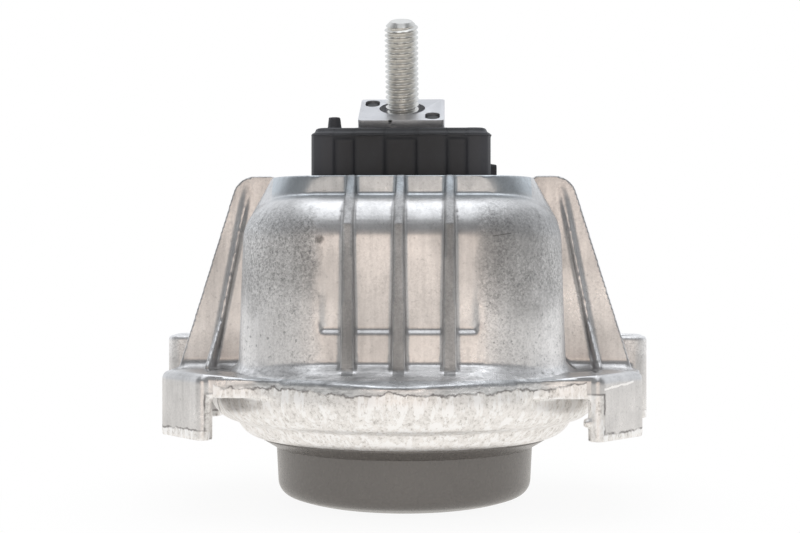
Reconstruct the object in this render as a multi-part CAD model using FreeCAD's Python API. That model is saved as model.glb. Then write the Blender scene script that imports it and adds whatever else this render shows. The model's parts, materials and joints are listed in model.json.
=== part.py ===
import FreeCAD, Part
import math
import os

# Hydraulic engine mount with a leaning M10 stud. Millimetres, +Z up, the front faces -Y.
# The origin is the centre of the flat disc under the bottom cup.

V = FreeCAD.Vector
UP = V(0, 0, 1)

# ---- fits, one value each -------------------------------------------------
press_gap = 0.05        # between a pressed-in ring and its bore
bond_gap = 0.08         # between rubber and the metal it is moulded to
seat_gap = 0.10         # around loose inner pieces
leg_recess = 0.6        # how far the rubber ends lie below the pad face

# ---- overall sizes ----------------------------------------------------------
bore_radius = 42.0          # bore of the housing, which most widths follow
foot_z = 22.4               # seat plane of the four feet
dome_z = 88.0               # top of the barrel
pad_z = 114.4               # pad face at the stud's axis

# ---- bottom cup -----------------------------------------------------------
cup_inset = 4.5             # how far the cup's wall lies inside the bore
cup_wall = 1.5
cup_disc_margin = 12.5      # from the wall in to the flat disc the cup stands on
cup_dish_margin = 3.5       # from the wall in to where the dished bottom ends
cup_dish_rise = 2.2
cup_corner_rise = 6.5
cup_flare_z = 16.2
cup_rim_z = 18.9
cup_draft = 0.5

# ---- housing: heights -------------------------------------------------------
bowl_z = 19.5               # lower rim of the housing
plate_z = 33.6              # underside of the base plate
flange_z = 38.6             # upper side of the base plate
shoulder_z = 62.0           # step that the spring ring is pressed against
collar_rise = 5.6

# ---- housing: bowl under the flange, outwards from the bore ------------------
rim_wall = 1.0
bowl_step_out = 6.8
bowl_step_z = 24.2
bowl_side_out = 10.6
bowl_side_z = 25.6
flange_out = 15.0
flange_slope = 4.5
flange_edge_z = 37.6
flange_edge_low = 34.2

# ---- housing: barrel, dome and collar --------------------------------------
barrel_wall_x = 2.0         # outwards from the bore, at the dome
barrel_wall_y = 3.5
barrel_corner = 23.5
barrel_draft = 1.9          # how much wider the barrel is at the flange
throat_step = 2.5           # shoulder's width inside the bore
dome_fillet = 12.5
travel_x = 7.3              # free play of the stop buffer in the top opening
travel_y = 2.8
collar_wall_x = 4.5
collar_wall_y = 4.7
collar_corner = 15.0
collar_flare = 7.0          # how much wider the collar is where it meets the dome
collar_sink = 7.0           # how far the collar reaches down into the dome
opening_corner = 11.0
opening_sink = 8.0

# ---- housing: ribs, webs, gussets -------------------------------------------
rib_spacing = 13.4
rib_top_width = 2.2
rib_foot_width = 3.8
rib_proud = 2.6
rib_knee_drop = 8.0
facet_half = 20.0           # flat facet sunk into the barrel's front
facet_sink = 0.35           # below the wall at dome height
facet_low_z = 51.9          # its lower end, a ledge that slopes outwards
facet_high_z = 84.0
skirt_rise = 4.4            # sloped foot of the barrel on the flange
skirt_bend_z = 1.4
skirt_out_x = 5.1
skirt_out_y = 8.8
skirt_corner = 47.0
web_top_out = 4.8           # past the barrel
web_foot_out = 9.8          # past the flange
web_thickness = 6.0
web_corner = 7.0
web_rise = 1.6              # above the collar
web_cove = 3.0              # fillet between web and base plate
gusset_top_out = 1.6        # past the barrel
gusset_foot_in = 1.0        # inside the flange's edge
gusset_thickness = 1.4
gusset_knee_z = 53.0
gusset_knee_y = 3.0
gusset_foot_y = 12.0

# ---- housing: feet, counted from the flange's edge ------------------------------
near_x_in = 7.0                 # front foot: corner nearest the front
near_y_in = 7.0
far_x_out = 10.2                # front foot: outer corner
far_y_in = 28.0
front_depth = 16.5
near_side = 8.0                 # length of its inner side
front_top_z = 40.0
front_hole_x_out = 1.0
front_hole_y_in = 25.9
front_hole_radius = 3.4         # core hole for an M8 thread
front_hole_depth = 13.0
foot_edge = 2.2
foot_corner = 1.5
rear_width = 16.2
rear_depth = 20.0
rear_x_out = 0.4
rear_y = 25.5
rear_top_z = 47.4
rear_corner = 4.0
rear_hole_radius = 5.4
arm_out = 11.2                  # edge of the base plate between the feet
plate_corner = 6.0
plate_y_in = 12.0               # front edge of the base plate
plate_blend = 17.5              # arc from the flange into that edge
pip_radius = 1.2                # small casting pip on one foot's inner side
pip_reach = 1.4
pip_y = 44.0
pip_z = 27.3

# ---- core, tilted pad and stud -------------------------------------------------
tilt = 22.5                     # lean of pad and stud towards the front, degrees
core_x = -0.35                  # sideways set of the core in its rubber
pad_y = -8.0
pad_half_x = 12.2
pad_front = 12.0                # from the stud's axis down the slope
pad_back = 9.3
pad_corner = 1.2
column_length = 24.0
pocket_play = 1.6               # round the stud's thread
pad_pocket_depth = 3.2
stud_bore_depth = 20.0
slot_x = 8.8
slot_half_x = 2.1
slot_half_y = 3.3
slot_y = 6.3
slot_depth = 14.0
window_height = 5.0
core_disc_radius = 21.0
core_disc_drop = 24.4           # pad face to the top of the core's disc
core_disc_height = 6.0
core_cone_height = 34.0
core_tip_radius = 13.5

stud_radius = 5.0
stud_shank_step = 0.5
stud_root_step = 0.3
stud_shank = 2.5
stud_length = 25.5
stud_chamfer = 1.6
stud_root = 17.0                # length pressed into the core

# ---- stop buffer ------------------------------------------------------------------
block_half_x = 25.2
block_half_y = 24.0
block_drop = 6.9                # pad face to the buffer's top
block_rim = 2.8                 # height of the rim over the parting line
block_height = 21.5
block_corner = 3.0
rim_round = 1.4
flute_depth = 1.3
rim_flute_depth = 0.6
flute_flank = 0.7
flute_centre = 4.8              # half width of the middle groove
flute_pad = 7.8                 # width of the land beside it
flute_side = 6.3                # width of the next groove
nub_xy = (-19.5, -14.0)
nub_foot_radius = 2.2
nub_top_radius = 1.7
nub_height = 3.7
tab_reach = 2.2
tab_half_y = 5.0
tab_drop = 9.1

# ---- main spring and its ring --------------------------------------------------------
ring_wall = 1.8
ring_low_z = 38.0
spring_drop = 1.5               # below the core's disc
spring_sag = 3.0
spring_floor_rise = 6.0
spring_clear = 2.5              # over the upper track plate
spring_foot = 6.0               # thickness of the rubber at the ring

# ---- inertia track, decoupler, diaphragm -----------------------------------------------
track_low_z = 28.0
track_mid_z = 33.0
channel_width = 7.5
channel_margin = 4.5            # from the bore in to the channel
channel_depth = 2.6
decoupler_margin = 7.0          # from the channel in to the decoupler
decoupler_half = 1.2
decoupler_play = 0.4
grid_hole_radius = 2.6
grid_margin = 8.5
grid_holes = 6
port_length = 9.0
bead_low_z = 23.4
bellows_wall = 2.0
fold_gap = 1.1
fold_radius = 6.0
fold_z = 13.5
crown_z = 21.0
crown_corner = 4.0

# ---- values that follow from the ones above ---------------------------------------------
rim_outer = bore_radius - press_gap
rim_inner = rim_outer - cup_wall
ring_outer = bore_radius - press_gap
ring_inner = ring_outer - ring_wall
cup_radius = bore_radius - cup_inset
throat_radius = bore_radius - throat_step
flange_radius = bore_radius + flange_out
barrel_half_x = bore_radius + barrel_wall_x
barrel_half_y = bore_radius + barrel_wall_y
opening_half_x = block_half_x + travel_x
opening_half_y = block_half_y + travel_y
opening_low_z = dome_z - opening_sink
collar_half_x = opening_half_x + collar_wall_x
collar_half_y = opening_half_y + collar_wall_y
collar_low_z = dome_z - collar_sink
collar_z = dome_z + collar_rise
rib_knee_z = dome_z - rib_knee_drop
web_top_x = barrel_half_x + web_top_out
web_foot_x = flange_radius + web_foot_out
gusset_top_x = barrel_half_x + gusset_top_out
gusset_foot_x = flange_radius - gusset_foot_in
front_near = (flange_radius - near_x_in, flange_radius - near_y_in)
front_far = (flange_radius + far_x_out, flange_radius - far_y_in)
front_hole = (flange_radius + front_hole_x_out, flange_radius - front_hole_y_in)
rear_x = flange_radius + rear_x_out + rear_width / 2
arm_x = flange_radius + arm_out
plate_front = flange_radius - plate_y_in
blend_y = plate_front + plate_blend
blend_x = math.sqrt((flange_radius + plate_blend) ** 2 - blend_y**2)
touch_share = flange_radius / (flange_radius + plate_blend)
touch = (blend_x * touch_share, blend_y * touch_share)
bend_x = (flange_radius**2 - touch[1] * plate_front) / touch[0]
web_top_z = collar_z + web_rise
facet_y = barrel_half_y + facet_sink
pad_centre = (core_x, pad_y, pad_z)
pad_pocket_radius = stud_radius + pocket_play
stud_bore_radius = stud_radius + stud_root_step
core_disc_z = pad_z - core_disc_drop
core_disc_low = core_disc_z - core_disc_height
core_tip_z = core_disc_low - core_cone_height
block_top_z = pad_z - block_drop
block_part_z = block_top_z - block_rim
block_low_z = block_top_z - block_height
tab_z = block_top_z - tab_drop
spring_top_z = core_disc_low - spring_drop
channel_out = bore_radius - channel_margin
channel_in = channel_out - channel_width
decoupler_radius = channel_in - decoupler_margin
grid_ring_radius = decoupler_radius - grid_margin
fold_centre = cup_radius - cup_draft - cup_wall - fold_gap - fold_radius


def turn(points):
    """Solid of revolution about Z from (radius, z) points joined by straight lines."""
    wire = Part.makePolygon([V(r, 0, z) for r, z in points + points[:1]])
    return Part.Face(wire).revolve(V(0, 0, 0), UP, 360)


def turn_edges(edges):
    """Solid of revolution about Z from edges drawn in the XZ plane."""
    wire = Part.Wire(Part.__sortEdges__(edges))
    return Part.Face(wire).revolve(V(0, 0, 0), UP, 360)


def line(a, b):
    return Part.LineSegment(V(a[0], 0, a[1]), V(b[0], 0, b[1])).toShape()


def arc(a, m, b):
    return Part.Arc(V(a[0], 0, a[1]), V(m[0], 0, m[1]), V(b[0], 0, b[1])).toShape()


def bulge(a, b, share):
    """Point beside the middle of a to b, to its right, at a share of the length away."""
    dx = b[0] - a[0]
    dz = b[1] - a[1]
    return ((a[0] + b[0]) / 2 + share * dz, (a[1] + b[1]) / 2 - share * dx)


def rounded_wire(half_x, half_y, corner, z):
    """Rectangle with round corners, centred on the Z axis."""
    edges = []
    x, y, r = half_x, half_y, corner
    k = r * (1 - math.sqrt(0.5))
    corners = [(x, y, 1, 1), (-x, y, -1, 1), (-x, -y, -1, -1), (x, -y, 1, -1)]
    starts = []
    for cx, cy, sx, sy in corners:
        on_x = V(cx, cy - sy * r, z)
        on_y = V(cx - sx * r, cy, z)
        mid = V(cx - sx * k, cy - sy * k, z)
        first, last = (on_x, on_y) if sx * sy > 0 else (on_y, on_x)
        edges.append(Part.Arc(first, mid, last).toShape())
        starts.append((first, last))
    for i in range(4):
        edges.append(Part.LineSegment(starts[i][1], starts[(i + 1) % 4][0]).toShape())
    return Part.Wire(Part.__sortEdges__(edges))


def rounded_block(half_x, half_y, corner, z0, z1):
    face = Part.Face(rounded_wire(half_x, half_y, corner, z0))
    return face.extrude(V(0, 0, z1 - z0))


def prism(points, z0, z1):
    """Upright prism over a plan polygon."""
    wire = Part.makePolygon([V(x, y, z0) for x, y in points + points[:1]])
    return Part.Face(wire).extrude(V(0, 0, z1 - z0))


def soft_prism(points, z0, z1):
    """Upright prism over a plan polygon of (x, y, corner radius)."""
    edges = []
    arcs = []
    count = len(points)
    for i in range(count):
        x, y, r = points[i]
        here = V(x, y, z0)
        back = V(points[i - 1][0], points[i - 1][1], z0) - here
        ahead = V(points[(i + 1) % count][0], points[(i + 1) % count][1], z0) - here
        half = back.getAngle(ahead) / 2
        back.normalize()
        ahead.normalize()
        run = r / math.tan(half)
        bisector = (back + ahead).normalize()
        middle = here + bisector * (r / math.sin(half) - r)
        arcs.append((here + back * run, middle, here + ahead * run))
    for i in range(count):
        first, middle, last = arcs[i]
        edges.append(Part.Arc(first, middle, last).toShape())
        edges.append(Part.LineSegment(last, arcs[(i + 1) % count][0]).toShape())
    wire = Part.Wire(Part.__sortEdges__(edges))
    return Part.Face(wire).extrude(V(0, 0, z1 - z0))


def slab(points, y0, y1):
    """Prism along Y over an XZ polygon."""
    wire = Part.makePolygon([V(x, y0, z) for x, z in points + points[:1]])
    return Part.Face(wire).extrude(V(0, y1 - y0, 0))


def plank(points, x0, x1):
    """Prism along X over a YZ polygon."""
    wire = Part.makePolygon([V(x0, y, z) for y, z in points + points[:1]])
    return Part.Face(wire).extrude(V(x1 - x0, 0, 0))


def mirrored(shape, normal):
    return shape.mirror(V(0, 0, 0), normal)


def edges_where(shape, test):
    return [e for e in shape.Edges if test(e)]


def leaned(shape):
    """Carry a shape drawn in the pad's own frame to its place on the leaning pad."""
    shape.rotate(V(0, 0, 0), V(1, 0, 0), tilt)
    shape.translate(V(*pad_centre))
    return shape


def fused(shapes):
    whole = shapes[0].multiFuse(shapes[1:])
    return whole.removeSplitter()


# ---------------------------------------------------------------------------- housing
def bowl_and_flange():
    rim = (bore_radius + rim_wall, bowl_z)
    step = (bore_radius + bowl_step_out, bowl_step_z)
    side = (bore_radius + bowl_side_out, bowl_side_z)
    edge = (flange_radius, flange_edge_low)
    flat = (flange_radius - flange_slope, flange_z)
    mid_step = bulge(rim, step, 0.12)
    mid_side = bulge(side, edge, 0.14)
    edges = [
        line((0, bowl_z), rim),
        arc(rim, mid_step, step),
        line(step, side),
        arc(side, mid_side, edge),
        line(edge, (flange_radius, flange_edge_z)),
        line((flange_radius, flange_edge_z), flat),
        line(flat, (0, flange_z)),
        line((0, flange_z), (0, bowl_z)),
    ]
    return turn_edges(edges)


def barrel():
    low = rounded_wire(
        barrel_half_x + barrel_draft,
        barrel_half_y + barrel_draft,
        barrel_corner + barrel_draft,
        plate_z,
    )
    high = rounded_wire(barrel_half_x, barrel_half_y, barrel_corner, dome_z)
    body = Part.makeLoft([low, high], True, True)
    rim = edges_where(body, lambda e: e.BoundBox.ZMin > dome_z - 0.01)
    return body.makeFillet(dome_fillet, rim)


def collar():
    """Wall round the top opening; its two ends flare out to the barrel's width."""
    low = rounded_wire(
        collar_half_x + collar_flare, collar_half_y, collar_corner, collar_low_z
    )
    high = rounded_wire(collar_half_x, collar_half_y, collar_corner, collar_z)
    return Part.makeLoft([low, high], True, True)


def front_rib(x):
    """Upright rib that widens downwards and bridges the dome to the collar."""
    facet_y = -barrel_half_y
    side = plank(
        [
            (-opening_half_y - 1, collar_z),
            (-collar_half_y - 1.2, collar_z),
            (facet_y - rib_proud, rib_knee_z),
            (facet_y - barrel_draft - rib_proud, flange_z - 1),
            (-opening_half_y - 1, flange_z - 1),
        ],
        x - rib_foot_width,
        x + rib_foot_width,
    )
    front = slab(
        [
            (x - rib_top_width / 2, collar_z),
            (x + rib_top_width / 2, collar_z),
            (x + rib_foot_width / 2, flange_z - 1),
            (x - rib_foot_width / 2, flange_z - 1),
        ],
        -flange_radius,
        0,
    )
    return side.common(front)


def facet_recess():
    """What is taken off the barrel's front for the flat facet between the outer ribs."""
    reach = flange_radius - facet_y
    section = plank(
        [
            (-facet_y, facet_high_z),
            (-facet_y, facet_low_z),
            (-facet_y - reach, facet_low_z - reach),
            (-facet_y - reach, facet_high_z),
        ],
        -facet_half - reach,
        facet_half + reach,
    )
    outline = prism(
        [
            (-facet_half, -facet_y),
            (facet_half, -facet_y),
            (facet_half + reach, -facet_y - reach),
            (-facet_half - reach, -facet_y - reach),
        ],
        plate_z,
        collar_z,
    )
    return section.common(outline)


def skirt():
    """Slope that carries the barrel's wall out to the flange, in two steps."""
    base_x = barrel_half_x + barrel_draft
    base_y = barrel_half_y + barrel_draft
    wires = [
        rounded_wire(base_x + skirt_out_x, base_y + skirt_out_y, skirt_corner, flange_edge_z + 0.4),
        rounded_wire(
            base_x + skirt_out_x * 0.4,
            base_y + skirt_out_y * 0.45,
            skirt_corner * 0.75,
            flange_z + skirt_bend_z,
        ),
        rounded_wire(
            barrel_half_x + barrel_draft * 0.6,
            barrel_half_y + barrel_draft * 0.6,
            barrel_corner + barrel_draft * 0.6,
            flange_z + skirt_rise,
        ),
    ]
    lower = Part.makeLoft(wires[:2], True, True)
    upper = Part.makeLoft(wires[1:], True, True)
    return lower.fuse(upper)


def web():
    """Flat trapezoid plate from the collar down to the base plate, right side."""
    plate = slab(
        [
            (collar_half_x - 2, collar_z),
            (collar_half_x + 2, web_top_z),
            (web_top_x, web_top_z),
            (web_foot_x, flange_z - 1),
            (barrel_half_x - 1, flange_z - 1),
            (barrel_half_x - 1, collar_low_z),
            (collar_half_x - 2, dome_z),
        ],
        -web_thickness / 2,
        web_thickness / 2,
    )
    corner = edges_where(
        plate,
        lambda e: e.BoundBox.XMin > web_top_x - 0.01 and e.BoundBox.ZMin > web_top_z - 0.01,
    )
    return plate.makeFillet(web_corner, corner)


def cove():
    """Fillet along the foot of the web, right side, front face."""
    face_y = -web_thickness / 2
    middle = web_cove * (1 - math.sqrt(0.5))
    x = barrel_half_x
    points = [
        V(x, face_y, flange_z + web_cove),
        V(x, face_y - middle, flange_z + middle),
        V(x, face_y - web_cove, flange_z),
    ]
    sunk = V(x, face_y - web_cove, flange_z - 1)
    inner = V(x, face_y + 1, flange_z - 1)
    top = V(x, face_y + 1, flange_z + web_cove)
    edges = [Part.Arc(*points).toShape()]
    for a, b in ((points[2], sunk), (sunk, inner), (inner, top), (top, points[0])):
        edges.append(Part.LineSegment(a, b).toShape())
    face = Part.Face(Part.Wire(Part.__sortEdges__(edges)))
    return face.extrude(V(web_foot_x - web_cove / 2 - x, 0, 0))


def gusset():
    """Thin rib that stands on the web's front face and runs down to the front foot."""
    slope = (gusset_foot_x - gusset_top_x) / (collar_z - front_top_z)

    def at(y, z):
        return V(gusset_top_x + slope * (collar_z - z) - gusset_thickness / 2, -y, z)

    outline = [
        at(0, collar_z - 1),
        at(web_thickness / 2, collar_z - 1),
        at(web_thickness / 2 + gusset_knee_y, gusset_knee_z),
        at(web_thickness / 2 + gusset_foot_y, front_top_z),
        at(web_thickness / 2 + gusset_foot_y, plate_z + 1),
        at(0, plate_z + 1),
    ]
    wire = Part.makePolygon(outline + outline[:1])
    return Part.Face(wire).extrude(V(gusset_thickness, 0, 0))


def front_foot():
    """Angled block under the base plate's front corner, right side."""
    dx = front_far[0] - front_near[0]
    dy = front_near[1] - front_far[1]
    length = math.hypot(dx, dy)
    inward = V(-dy / length, dx / length, 0) * front_depth
    block = soft_prism(
        [
            (front_near[0], -front_near[1], 1.6 * foot_corner),
            (front_far[0], -front_far[1], 2 * foot_corner),
            (front_far[0] + inward.x, -front_far[1] + inward.y, 2 * foot_corner),
            (front_near[0], -front_near[1] + near_side, 2 * foot_corner),
        ],
        foot_z,
        front_top_z,
    )

    rim = edges_where(block, lambda e: e.BoundBox.ZMin > front_top_z - 0.01)
    return block.makeFillet(foot_edge, rim)


def rear_foot():
    """Taller block with the through hole, right side."""
    block = rounded_block(rear_width / 2, rear_depth / 2, rear_corner, foot_z, rear_top_z)
    rim = edges_where(block, lambda e: e.BoundBox.ZMin > rear_top_z - 0.01)
    block = block.makeFillet(foot_edge / 2, rim)
    block.translate(V(rear_x, rear_y, 0))
    return block


def base_plate():
    """Plate that joins the feet to the flange, right side."""
    return soft_prism(
        [
            (0, -front_near[1] + front_depth, foot_corner),
            (touch[0], -touch[1], foot_corner / 3),
            (bend_x, -plate_front, plate_blend * 0.95),
            (front_near[0] + 1, -plate_front, foot_corner),
            (front_far[0] - 2, -front_far[1] + 1, foot_corner),
            (arm_x, -web_thickness, plate_corner),
            (arm_x, rear_y - rear_depth / 4, foot_corner),
            (rear_x - rear_width / 4, rear_y + rear_depth / 3, foot_corner),
            (rear_x - rear_width, rear_y + rear_depth * 0.7, plate_corner),
            (0, rear_y + rear_depth / 2, foot_corner),
        ],
        plate_z,
        flange_z,
    )


def shoulder():
    """Rise of the base plate towards the top of the front foot, right side."""
    return slab(
        [
            (bend_x - 2, flange_z - 2),
            (front_near[0] + 2, flange_z - 2),
            (front_near[0] + 2, front_top_z),
            (bend_x - 2, flange_z - 0.3),
        ],
        -plate_front + 0.3,
        -plate_front + front_depth,
    )


def cavity():
    """Everything bored out of the casting from below and the opening at the top."""
    bore = turn(
        [
            (0, bowl_z - 1),
            (bore_radius, bowl_z - 1),
            (bore_radius, shoulder_z),
            (throat_radius, shoulder_z),
            (throat_radius, opening_low_z - 2),
            (opening_half_y + 3, dome_z - 4),
            (0, dome_z - 4),
        ]
    )
    top = rounded_block(
        opening_half_x, opening_half_y, opening_corner, opening_low_z, collar_z + 1
    )
    return bore.fuse(top)


def casting_pip():
    start = V(front_near[0] - pip_reach, -pip_y, pip_z)
    return Part.makeCylinder(pip_radius, pip_reach + 1, start, V(1, 0, 0))


def foot_holes():
    """Blind holes in the front feet from below, through holes in the rear feet."""
    holes = []
    for side in (-1, 1):
        front = V(side * front_hole[0], -front_hole[1], foot_z - 1)
        rear = V(side * rear_x, rear_y, foot_z - 1)
        holes.append(Part.makeCylinder(front_hole_radius, front_hole_depth + 1, front, UP))
        holes.append(
            Part.makeCylinder(rear_hole_radius, rear_top_z - foot_z + 2, rear, UP)
        )
    return holes


def housing():
    right = [web(), cove(), gusset(), front_foot(), rear_foot(), base_plate(), shoulder()]
    right += [mirrored(s, V(0, 1, 0)) for s in (gusset(), cove())]
    left = [mirrored(s, V(1, 0, 0)) for s in right]
    ribs = [front_rib(i * rib_spacing) for i in (-1, 0, 1)]
    ribs += [mirrored(r, V(0, 1, 0)) for r in ribs]
    drum = barrel().cut(facet_recess())
    solid = [bowl_and_flange(), drum, skirt(), collar(), casting_pip()]
    outer = fused(solid + ribs + right + left)
    return outer.cut([cavity()] + foot_holes()).removeSplitter()


# ------------------------------------------------------------------------------- core
def column(grow):
    """Rectangular column under the pad, in the pad's own frame."""
    half_y = (pad_front + pad_back) / 2
    block = rounded_block(
        pad_half_x + grow, half_y + grow, pad_corner + grow, -column_length, 0
    )
    block.translate(V(0, (pad_back - pad_front) / 2, 0))
    return block


def slot_channels(shrink, recess):
    """The two slots through the pad, each with a window out through the column's side."""
    middle = (pad_back - pad_front) / 2
    out = []
    for side in (-1, 1):
        y = middle - side * slot_y
        half_x = slot_half_x - shrink
        half_y = slot_half_y - shrink
        slot = rounded_block(
            half_x, half_y, half_x * 0.98, -slot_depth + shrink, -recess
        )
        slot.translate(V(side * slot_x, y, 0))
        reach = pad_half_x + 3 - slot_x
        window = Part.makeBox(reach, 2 * half_y, window_height - 2 * shrink)
        window.translate(V(0, -half_y, -slot_depth + shrink))
        if side < 0:
            window = mirrored(window, V(1, 0, 0))
        window.translate(V(side * slot_x, y, 0))
        out.append(slot.fuse(window))
    return out


def core_body(grow):
    """Disc and cone under the column, on the mount's axis."""
    body = turn(
        [
            (0, core_tip_z - grow),
            (core_tip_radius + grow, core_tip_z - grow),
            (core_disc_radius + grow, core_disc_low),
            (core_disc_radius + grow, core_disc_z),
            (core_disc_radius - 4, core_disc_z + grow),
            (0, core_disc_z + grow),
        ]
    )
    body.translate(V(core_x, 0, 0))
    return body


def core():
    upper = column(0)
    pocket = Part.makeCylinder(
        pad_pocket_radius, pad_pocket_depth + 1, V(0, 0, -pad_pocket_depth), UP
    )
    bore = Part.makeCylinder(stud_bore_radius, stud_bore_depth, V(0, 0, -stud_bore_depth), UP)
    upper = upper.cut([pocket, bore] + slot_channels(0, -1))
    whole = leaned(upper).fuse(core_body(0))
    holes = [leaned(pocket), leaned(bore)] + [leaned(s) for s in slot_channels(0, -1)]
    return whole.cut(holes).removeSplitter()


def stud():
    """Stud with a plain shank at the pad and a thicker root pressed into the core."""
    root = stud_bore_radius - press_gap
    shank = stud_radius - stud_shank_step
    body = turn(
        [
            (0, -stud_root),
            (root - 1, -stud_root),
            (root, -stud_root + 1),
            (root, -pad_pocket_depth),
            (shank, -pad_pocket_depth),
            (shank, stud_shank),
            (stud_radius, stud_shank + stud_shank_step),
            (stud_radius, stud_length - stud_chamfer),
            (stud_radius - stud_chamfer, stud_length),
            (0, stud_length),
        ]
    )
    return leaned(body)


# ------------------------------------------------------------------------ stop buffer
def fluted_outline(depth, inset):
    """Plan outline of the buffer, with grooves on the front and the rear face."""
    x0 = flute_centre
    x1 = x0 + flute_pad
    x2 = x1 + flute_side
    x3 = block_half_x - inset
    y = block_half_y - inset
    c = block_corner
    right = [
        (x0 - flute_flank, y - depth),
        (x0, y),
        (x1, y),
        (x1 + flute_flank, y - depth),
        (x2 - flute_flank, y - depth),
        (x2, y),
        (x3 - c, y),
        (x3 - 0.3 * c, y - 0.3 * c),
        (x3, y - c),
    ]
    quarter = [(x, -v) for x, v in right]
    half = quarter + [(x, v) for x, v in reversed(right)]
    return half + [(-x, v) for x, v in reversed(half)]


def stop_buffer():
    body = prism(fluted_outline(flute_depth, 0), block_low_z, block_part_z)
    rim = prism(fluted_outline(rim_flute_depth, 0), block_part_z, block_top_z - rim_round)
    crown = prism(
        fluted_outline(rim_flute_depth, rim_round * 0.8), block_top_z - rim_round, block_top_z
    )
    block = body.multiFuse([rim, crown])
    block.translate(V(core_x, 0, 0))
    nub = Part.makeCone(
        nub_foot_radius,
        nub_top_radius,
        nub_height + 1,
        V(nub_xy[0], nub_xy[1], block_top_z - 1),
        UP,
    )
    tab = Part.makeBox(tab_reach + 2, 2 * tab_half_y, tab_z - block_low_z)
    tab.translate(V(core_x + block_half_x - 2, -tab_half_y, block_low_z))
    block = block.multiFuse([nub, tab])
    block = block.cut([leaned(column(bond_gap)), core_body(bond_gap)])
    legs = [leaned(s) for s in slot_channels(bond_gap, leg_recess)]
    return block.multiFuse(legs).removeSplitter()


# -------------------------------------------------------------------- spring and ring
def spring_ring():
    return turn(
        [
            (ring_inner, ring_low_z),
            (ring_outer, ring_low_z),
            (ring_outer, shoulder_z),
            (ring_inner - 1.5, shoulder_z),
            (ring_inner - 1.5, shoulder_z - ring_wall),
            (ring_inner, shoulder_z - ring_wall - 1.5),
        ]
    )


def main_spring():
    """Rubber cone between the core and the ring; its hollow underside holds the fluid."""
    slope = (core_disc_radius - core_tip_radius) / (core_disc_low - core_tip_z)

    def cone_radius(z):
        return core_tip_radius + slope * (z - core_tip_z)

    wall = ring_inner - bond_gap
    top_in = (cone_radius(spring_top_z), spring_top_z)
    top_out = (wall - 1.5, shoulder_z + 0.6)
    low_out = (wall, ring_low_z + spring_clear)
    foot_in = (wall - spring_foot, ring_low_z + spring_clear)
    low_in = (core_tip_radius - 1.5, core_tip_z - 2.5)
    roof = ((low_in[0] + foot_in[0]) / 2, low_in[1] + spring_floor_rise / 4)
    edges = [
        line(top_in, (cone_radius(core_tip_z), core_tip_z)),
        line((cone_radius(core_tip_z), core_tip_z), (0, core_tip_z)),
        line((0, core_tip_z), (0, low_in[1])),
        line((0, low_in[1]), low_in),
        arc(low_in, roof, foot_in),
        line(foot_in, low_out),
        line(low_out, (wall, shoulder_z - ring_wall - 1.6)),
        line((wall, shoulder_z - ring_wall - 1.6), (wall - 1.5, shoulder_z - ring_wall)),
        line((wall - 1.5, shoulder_z - ring_wall), top_out),
        arc(
            top_out,
            ((top_in[0] + top_out[0]) / 2 - spring_sag, (top_in[1] + top_out[1]) / 2 - spring_sag),
            top_in,
        ),
    ]
    body = turn_edges(edges)
    return body.cut([core_body(bond_gap)])


# --------------------------------------------------------------- hydraulic separation
def grid(z0, z1):
    holes = []
    for i in range(grid_holes):
        angle = 2 * math.pi * i / grid_holes
        centre = V(grid_ring_radius * math.cos(angle), grid_ring_radius * math.sin(angle), z0)
        holes.append(Part.makeCylinder(grid_hole_radius, z1 - z0, centre, UP))
    holes.append(Part.makeCylinder(grid_hole_radius, z1 - z0, V(0, 0, z0), UP))
    return holes


def decoupler_pocket():
    reach = decoupler_half + decoupler_play
    return turn(
        [
            (0, track_mid_z - reach),
            (decoupler_radius + seat_gap, track_mid_z - reach),
            (decoupler_radius + seat_gap, track_mid_z + reach),
            (0, track_mid_z + reach),
        ]
    )


def channel():
    """Half turn of the long damping channel, cut half into each plate."""
    ring = turn(
        [
            (channel_in, track_mid_z - channel_depth),
            (channel_out, track_mid_z - channel_depth),
            (channel_out, track_mid_z + channel_depth),
            (channel_in, track_mid_z + channel_depth),
        ]
    )
    stop = Part.makeBox(bore_radius, port_length / 3, 4 * channel_depth)
    stop.translate(V(0, -port_length / 6, track_mid_z - 2 * channel_depth))
    return ring.cut(stop)


def port(z0, z1, side):
    box = Part.makeBox(channel_out - channel_in, port_length, z1 - z0)
    box.translate(V(channel_in, 0, z0))
    if side < 0:
        box.translate(V(0, -port_length - port_length / 6, 0))
    else:
        box.translate(V(0, port_length / 6, 0))
    return box


def track_plate(z0, z1, side):
    plate = Part.makeCylinder(ring_outer, z1 - z0, V(0, 0, z0), UP)
    cuts = [decoupler_pocket(), channel(), port(z0 - 1, z1 + 1, side)]
    return plate.cut(cuts + grid(z0 - 1, z1 + 1))


def decoupler():
    low = track_mid_z - decoupler_half - decoupler_play
    rim = decoupler_radius
    return turn(
        [
            (0, track_mid_z - decoupler_half),
            (rim - 2, track_mid_z - decoupler_half),
            (rim - 1.5, low),
            (rim, low),
            (rim, track_mid_z + decoupler_half + decoupler_play),
            (rim - 1.5, track_mid_z + decoupler_half + decoupler_play),
            (rim - 2, track_mid_z + decoupler_half),
            (0, track_mid_z + decoupler_half),
        ]
    )


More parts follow.
